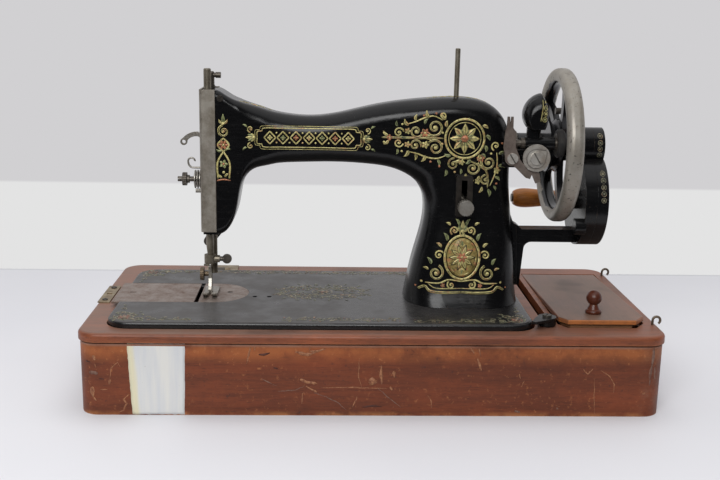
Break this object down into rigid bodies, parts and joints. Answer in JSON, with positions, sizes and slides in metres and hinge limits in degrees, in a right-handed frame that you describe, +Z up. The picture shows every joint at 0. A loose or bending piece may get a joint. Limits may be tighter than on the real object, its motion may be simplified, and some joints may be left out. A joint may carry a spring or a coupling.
{
  "type": "hand-crank sewing machine",
  "caption": "Antique hand-crank sewing machine on its wooden case base, with a japanned arm and bed that tilt, a geared crank and a hinged compartment lid.",
  "frame": {"origin": "centre of the wooden base's underside, which stands on the table", "axes": "+Z up, +X along the machine to the handwheel, +Y to the back"},
  "size_m": [0.5092, 0.232, 0.309],
  "materials": {
    "mahogany": "worn satin varnish",
    "japanned_iron": "gloss black japan with gold transfers",
    "nickel": "dull worn nickel plate",
    "steel": "aged, slightly rusty",
    "brass": "tarnished",
    "grip_wood": "worn varnish",
    "black_rubber": "steel spindle with a black ring"
  },
  "bodies": {
    "case": {"base_walls": "mahogany", "base_bottom": "mahogany", "base_top": "mahogany", "well_blocks": "mahogany", "lock_plate": "brass", "case_screws": "nickel", "case_hooks": "steel", "hinge_leaves": "steel"},
    "head": {"hinge_stems": "steel", "bed": "japanned_iron", "needle_plate": "steel", "arm": "japanned_iron", "face_plate": "nickel", "head_screws": "nickel", "pivot_pins": "steel", "tension_stud": "nickel", "tension_discs": "nickel", "thread_hook": "nickel", "stitch_plate": "nickel", "spool_pin": "steel", "shaft_bushings": "steel", "crank_bracket": "japanned_iron", "gear_cover": "japanned_iron", "winder_bracket": "japanned_iron", "shuttle_race": "steel", "bobbin_case": "steel"},
    "latch": {"bed_latch": "japanned_iron"},
    "lid": {"lid_panel": "mahogany", "lid_batten": "mahogany", "lid_pins": "steel", "lid_knob": "mahogany"},
    "slide_cover": {"slide_plate": "steel"},
    "needle": {"needle_bar": "steel", "needle_clamp": "steel"},
    "needle_thumb_screw": {"clamp_screw": "steel"},
    "presser": {"presser_bar": "steel", "presser_foot": "steel"},
    "foot_thumb_screw": {"foot_screw": "steel"},
    "lifter": {"presser_lifter": "steel"},
    "pressure_regulator": {"pressure_screw": "nickel"},
    "take_up": {"take_up_lever": "nickel"},
    "tension_knob": {"tension_nut": "nickel"},
    "stitch_regulator": {"stitch_lever": "nickel"},
    "wheel": {"main_shaft": "steel", "handwheel": "japanned_iron"},
    "clutch": {"clutch_nut": "nickel"},
    "crank": {"crank_arm": "japanned_iron", "large_gear": "steel"},
    "pinion": {"drive_pinion": "steel"},
    "handle": {"crank_spindle": "steel"},
    "grip": {"crank_grip": "grip_wood"},
    "winder": {"winder_frame": "japanned_iron", "belt_guard": "japanned_iron", "winder_screws": "nickel"},
    "spindle": {"winder_spindle": "black_rubber"},
    "cam": {"winder_cam": "nickel"},
    "guide": {"winder_guide": "nickel"},
    "hook": {"oscillating_hook": "steel"},
    "feed": {"feed_dog": "steel"}
  },
  "joints": [
    {"name": "head_tilt", "type": "hinge", "parent": "case", "child": "head", "pos_m": [0, 0.083, 0.0745], "axis": [-1, 0, 0], "range_deg": [0, 78]},
    {"name": "latch_turn", "type": "hinge", "parent": "case", "child": "latch", "pos_m": [0.1526, -0.084, 0.077], "axis": [0, 0, 1], "range_deg": [-61, 30]},
    {"name": "lid_open", "type": "hinge", "parent": "case", "child": "lid", "pos_m": [0.2025, 0.0878, 0.071], "axis": [-1, 0, 0], "range_deg": [-2.2, 17]},
    {"name": "slide_cover_slide", "type": "slide", "parent": "head", "child": "slide_cover", "axis": [1, 0, 0], "range_m": [-0.06, 0.0036]},
    {"name": "needle_stroke", "type": "slide", "parent": "head", "child": "needle", "axis": [0, 0, 1], "range_m": [-0.019, 0.006]},
    {"name": "needle_screw_turn", "type": "hinge", "parent": "needle", "child": "needle_thumb_screw", "pos_m": [-0.138, -0.018, 0.114], "axis": [1, 0, 0], "range_deg": [0, 360]},
    {"name": "lifter_turn", "type": "hinge", "parent": "head", "child": "lifter", "pos_m": [-0.1357, 0.0121, 0.149], "axis": [0, 1, 0], "range_deg": [0, 80]},
    {"name": "presser_lift", "type": "slide", "parent": "head", "child": "presser", "axis": [0, 0, 1], "range_m": [0, 0.0065]},
    {"name": "foot_screw_turn", "type": "hinge", "parent": "presser", "child": "foot_thumb_screw", "pos_m": [-0.156, 0.001, 0.0945], "axis": [-1, 0, 0], "range_deg": [0, 360]},
    {"name": "pressure_turn", "type": "hinge", "parent": "head", "child": "pressure_regulator", "pos_m": [-0.148, 0.001, 0.275], "axis": [0, 0, 1], "range_deg": [-180, 180]},
    {"name": "take_up_swing", "type": "hinge", "parent": "head", "child": "take_up", "pos_m": [-0.1345, -0.0085, 0.2], "axis": [0, -1, 0], "range_deg": [-4, 50]},
    {"name": "tension_turn", "type": "hinge", "parent": "head", "child": "tension_knob", "pos_m": [-0.1695, -0.021, 0.189], "axis": [-1, 0, 0], "range_deg": [0, 360]},
    {"name": "stitch_set", "type": "hinge", "parent": "head", "child": "stitch_regulator", "pos_m": [0.081, -0.008, 0.1715], "axis": [-1, 0, 0], "range_deg": [0, 26]},
    {"name": "crank_turn", "type": "hinge", "parent": "head", "child": "crank", "pos_m": [0.198, -0.012, 0.173], "axis": [1, 0, 0], "range_deg": [-170, 15]},
    {"name": "wheel_turn", "type": "hinge", "parent": "head", "child": "wheel", "pos_m": [0.17, -0.012, 0.223], "axis": [1, 0, 0], "range_deg": [-60, 540]},
    {"name": "pinion_turn", "type": "hinge", "parent": "head", "child": "pinion", "pos_m": [0.198, -0.012, 0.223], "axis": [1, 0, 0], "range_deg": [-60, 540]},
    {"name": "clutch_turn", "type": "hinge", "parent": "wheel", "child": "clutch", "pos_m": [0.1813, -0.012, 0.223], "axis": [1, 0, 0], "range_deg": [0, 360]},
    {"name": "handle_fold", "type": "hinge", "parent": "crank", "child": "handle", "pos_m": [0.213, 0.06383, 0.15963], "axis": [0, -0.1736, -0.9848], "range_deg": [0, 180]},
    {"name": "grip_spin", "type": "hinge", "parent": "handle", "child": "grip", "pos_m": [0.174, 0.06383, 0.15963], "axis": [1, 0, 0], "continuous": true},
    {"name": "winder_tilt", "type": "hinge", "parent": "head", "child": "winder", "pos_m": [0.14, -0.031, 0.212], "axis": [-1, 0, 0], "range_deg": [0, 6]},
    {"name": "spindle_spin", "type": "hinge", "parent": "winder", "child": "spindle", "pos_m": [0.14, -0.05, 0.2295], "axis": [1, 0, 0], "continuous": true},
    {"name": "cam_turn", "type": "hinge", "parent": "winder", "child": "cam", "pos_m": [0.1407, -0.0545, 0.2175], "axis": [0, 1, 0], "continuous": true},
    {"name": "guide_swing", "type": "hinge", "parent": "winder", "child": "guide", "pos_m": [0.12, -0.0545, 0.2164], "axis": [0, 1, 0], "range_deg": [-6, 6]},
    {"name": "hook_swing", "type": "hinge", "parent": "head", "child": "hook", "pos_m": [-0.155, -0.018, 0.048], "axis": [1, 0, 0], "range_deg": [-100, 100]},
    {"name": "feed_stroke", "type": "slide", "parent": "head", "child": "feed", "axis": [0, 1, 0], "range_m": [-0.0015, 0.0015]}
  ],
  "couplings": [
    {"joint": "wheel_turn", "follows": "crank_turn", "ratio": -3},
    {"joint": "pinion_turn", "follows": "crank_turn", "ratio": -3},
    {"joint": "presser_lift", "follows": "lifter_turn", "m_per_rad": 0.00465},
    {"joint": "cam_turn", "follows": "spindle_spin", "ratio": 0.041667}
  ]
}
